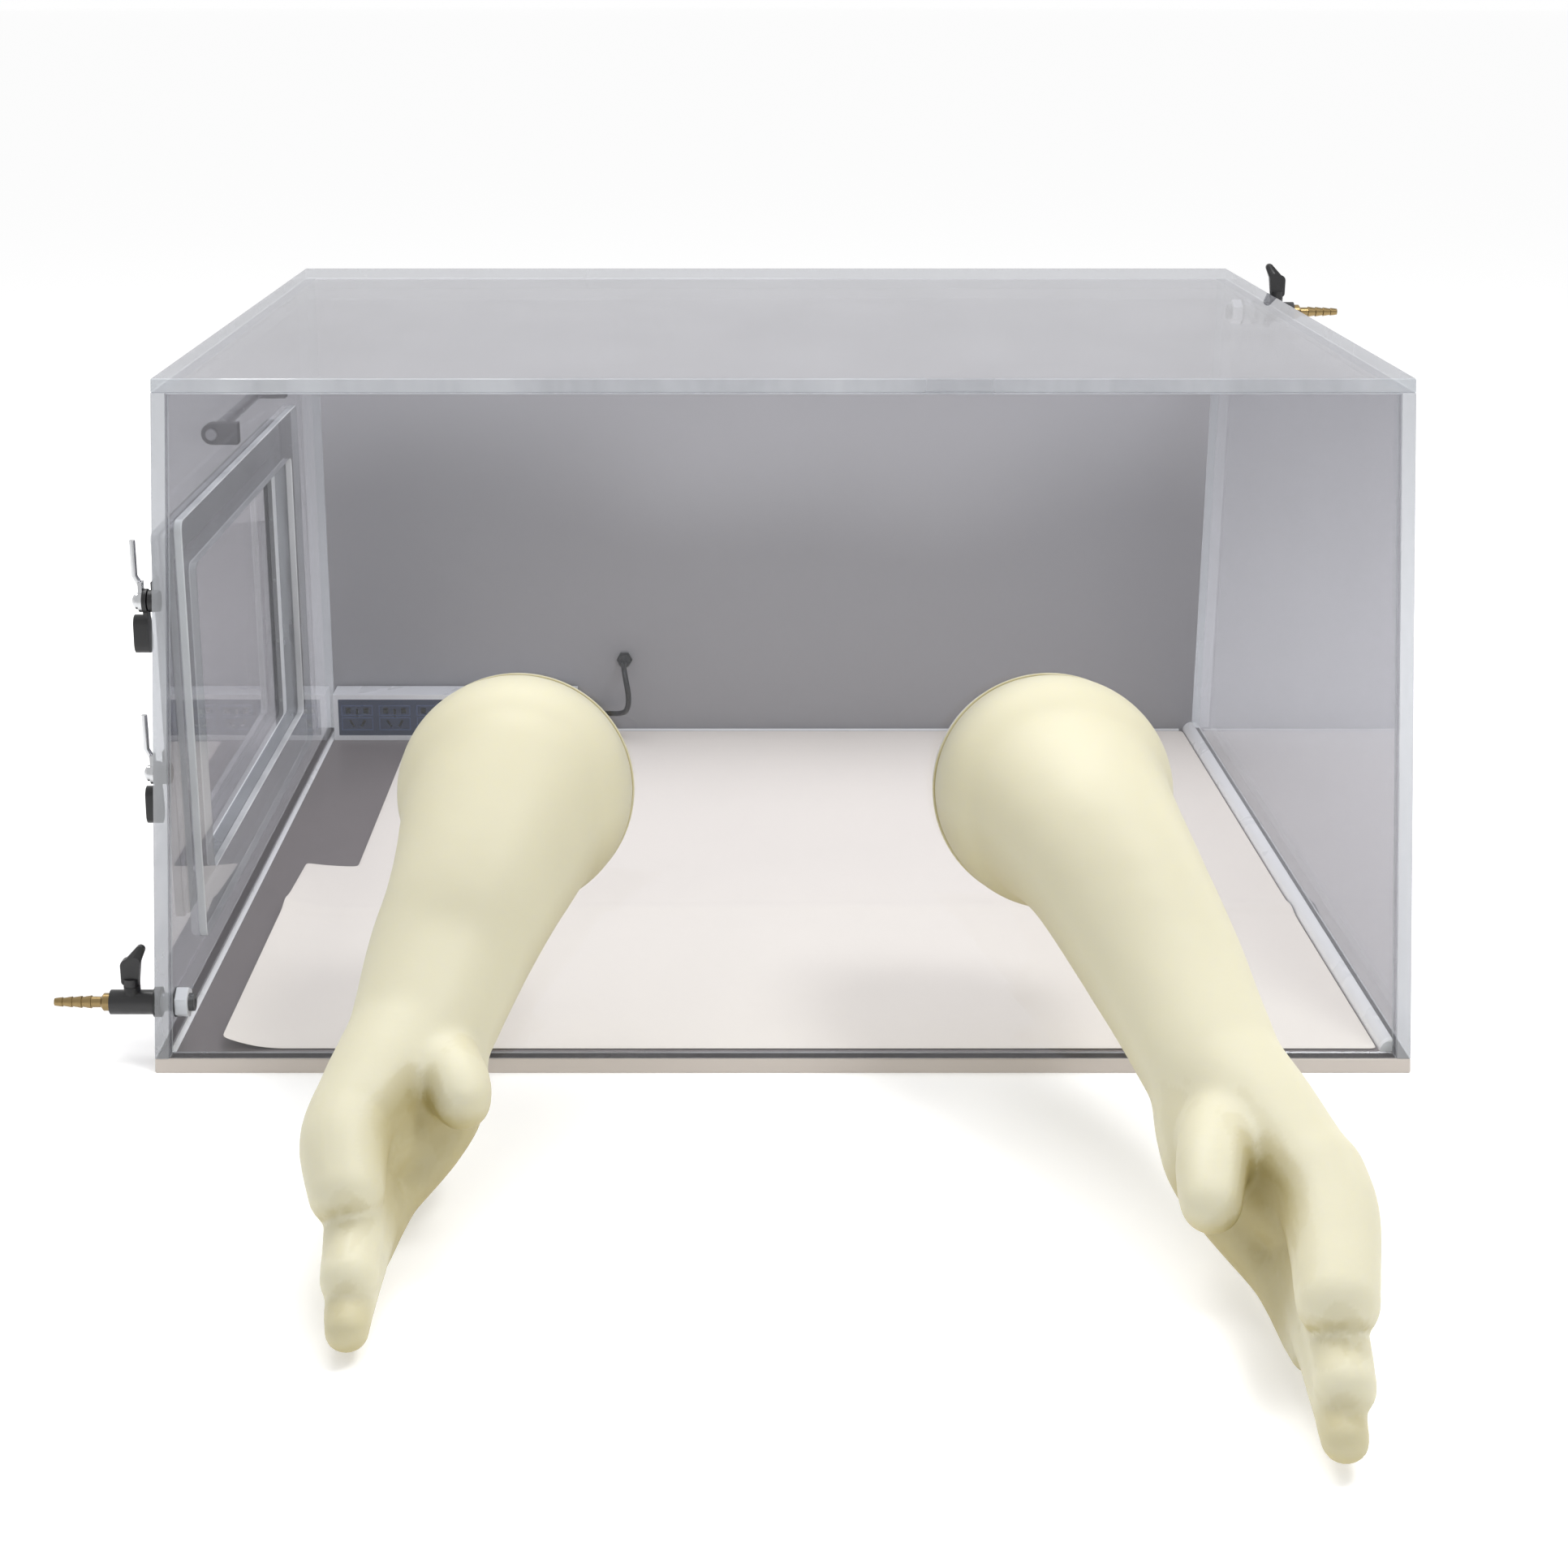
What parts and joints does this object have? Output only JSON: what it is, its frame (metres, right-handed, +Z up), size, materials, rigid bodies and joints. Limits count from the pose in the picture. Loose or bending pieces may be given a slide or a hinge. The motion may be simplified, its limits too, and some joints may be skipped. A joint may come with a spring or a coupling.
{
  "type": "laboratory glove box",
  "caption": "Bench-top clear acrylic glove box with a leaning front, long rubber gloves on round ports, a hinged side door, purge valves and an inner power strip.",
  "frame": {"origin": "centre of the base panel's underside, on the bench", "axes": "+X to the user's right, +Y away from the user, +Z up"},
  "size_m": [1.056, 1.3347, 0.4992],
  "materials": {
    "base": "dark grey PVC sheet, satin",
    "clear": "polished clear acrylic",
    "smoke": "polished light smoke acrylic",
    "rear": "polished grey acrylic",
    "sealant": "white silicone",
    "liner": "soft white PVC sheet",
    "collar": "white PVC",
    "black_rubber": "matt",
    "latex": "cream latex, satin",
    "gasket": "translucent silicone",
    "black_metal": "black anodised",
    "steel": "stainless",
    "black_plastic": "moulded nylon",
    "brass": "aged",
    "white_plastic": "moulded ABS",
    "navy_plastic": "moulded ABS",
    "lead": "flexible PVC sheath"
  },
  "bodies": {
    "chamber": {"base_panel": "base", "front_panel": "clear", "rear_panel": "rear", "left_panel": "smoke", "right_panel": "smoke", "top_panel": "smoke", "floor_bead": "sealant", "thin_seal_beads": "sealant", "floor_liner": "liner", "door_frame": "clear", "port_collar_left": "collar", "port_collar_right": "collar", "collar_lock_rings": "collar", "collar_gaskets": "black_rubber", "cuff_o_rings": "black_rubber", "glove_left": "latex", "glove_right": "latex", "hinge_leaf_wall": "black_metal", "hinge_pin": "steel", "hinge_screws_wall": "steel", "latch_posts": "black_plastic", "latch_cap_nuts": "steel", "handle_posts": "black_plastic", "handle_bar": "steel", "left_valve_body": "black_plastic", "left_valve_barb": "brass", "left_valve_nut": "white_plastic", "left_valve_washer": "black_rubber", "right_valve_body": "black_plastic", "right_valve_barb": "brass", "right_valve_nut": "white_plastic", "right_valve_washer": "black_rubber", "strip_shell": "white_plastic", "strip_face": "navy_plastic", "strip_contacts": "brass", "strip_strain_relief": "lead", "supply_lead": "lead", "lead_gland": "black_plastic", "inlet_housing": "black_plastic", "inlet_pins": "brass", "inlet_screws": "steel"},
    "door": {"door_panel": "clear", "door_gasket": "gasket", "door_strikes": "black_plastic", "hinge_leaf_door": "black_metal", "hinge_screws_door": "steel"},
    "upper_latch": {"latch_arm_upper": "steel", "latch_grip_upper": "black_plastic"},
    "lower_latch": {"latch_arm_lower": "steel", "latch_grip_lower": "black_plastic"},
    "left_valve_spindle": {"left_valve_ball": "steel", "left_valve_lever": "black_plastic"},
    "right_valve_spindle": {"right_valve_ball": "steel", "right_valve_lever": "black_plastic"},
    "power_rocker": {"strip_rocker": "black_plastic"}
  },
  "joints": [
    {"name": "door_hinge", "type": "hinge", "parent": "chamber", "child": "door", "pos_m": [-0.456, 0.222, 0.215], "axis": [0, 0, -1], "range_deg": [0, 110]},
    {"name": "upper_latch_swing", "type": "hinge", "parent": "chamber", "child": "upper_latch", "pos_m": [-0.463, -0.29, 0.321], "axis": [-1, 0, 0], "range_deg": [0, 90]},
    {"name": "lower_latch_swing", "type": "hinge", "parent": "chamber", "child": "lower_latch", "pos_m": [-0.463, -0.29, 0.19], "axis": [-1, 0, 0], "range_deg": [0, 90]},
    {"name": "left_valve_turn", "type": "hinge", "parent": "chamber", "child": "left_valve_spindle", "pos_m": [-0.471, -0.365, 0.055], "axis": [0, 0, 1], "range_deg": [0, 90]},
    {"name": "right_valve_turn", "type": "hinge", "parent": "chamber", "child": "right_valve_spindle", "pos_m": [0.471, 0.27, 0.47], "axis": [0, 0, 1], "range_deg": [0, 90]},
    {"name": "power_rocker_tilt", "type": "hinge", "parent": "chamber", "child": "power_rocker", "pos_m": [-0.21, 0.3625, 0.034], "axis": [-1, 0, 0], "range_deg": [0, 16]}
  ]
}
